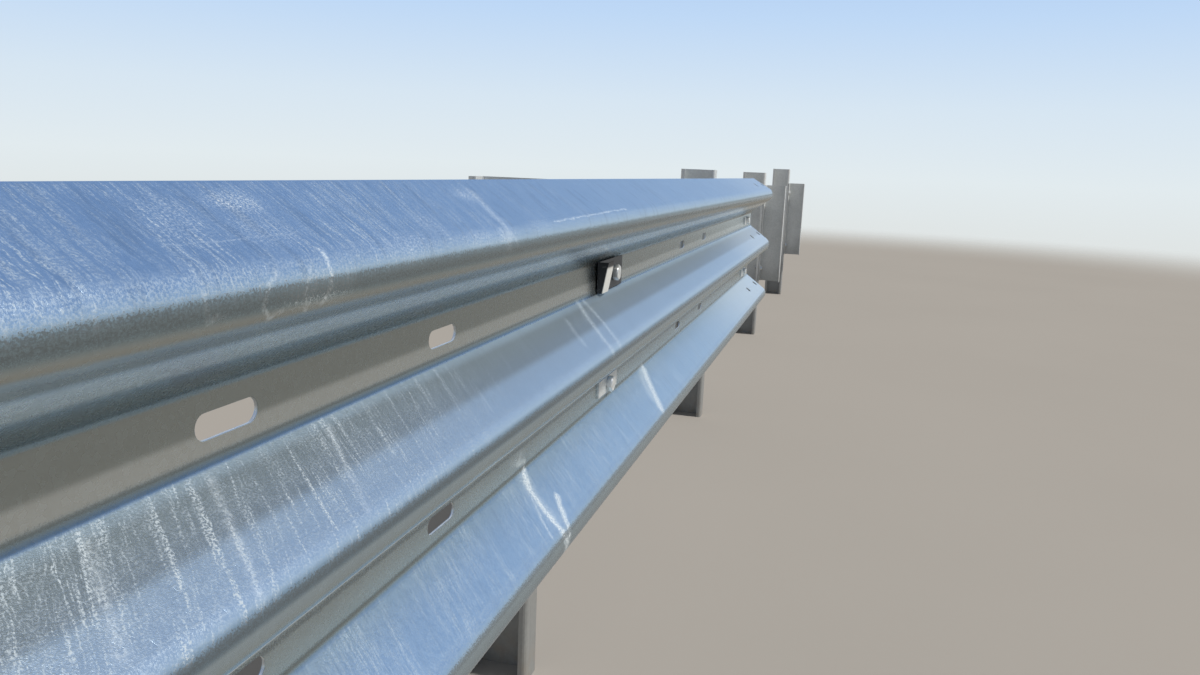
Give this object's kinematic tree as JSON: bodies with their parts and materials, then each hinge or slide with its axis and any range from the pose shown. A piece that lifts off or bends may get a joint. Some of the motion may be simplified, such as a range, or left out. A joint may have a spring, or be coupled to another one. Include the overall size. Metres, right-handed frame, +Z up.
{
  "type": "highway guardrail section",
  "caption": "Run of three-wave steel highway guardrail: lapped beams with slotted valleys, spacers and lipped channel posts, left open at the end for the next beam.",
  "frame": {"origin": "at ground level on the foot of the first post, in the middle of the thickness and width of its traffic-side flange, on its bolt line", "axes": "+X along the run towards its unfinished end, -Y towards the traffic, +Z up"},
  "size_m": [12.191, 0.338, 0.992],
  "materials": {
    "beam": "glossy hot-dip zinc with fine spangle and white streaks",
    "post": "dull hot-dip zinc",
    "spacer": "dull hot-dip zinc",
    "fastener": "bright zinc",
    "delineator": "black paint with a bare bright outer edge"
  },
  "bodies": {
    "root": {"beam_1": "beam", "beam_2": "beam", "post_1": "post", "post_2": "post", "post_3": "post", "post_4": "post", "post_5": "post", "post_6": "post", "post_7": "post", "spacer_1": "spacer", "spacer_2": "spacer", "spacer_3": "spacer", "spacer_4": "spacer", "spacer_5": "spacer", "spacer_6": "spacer", "spacer_7": "spacer", "plate_washers_1": "fastener", "plate_washers_2": "fastener", "plate_washers_3": "fastener", "plate_washers_4": "fastener", "plate_washers_5": "fastener", "delineator": "delineator"}
  },
  "joints": []
}
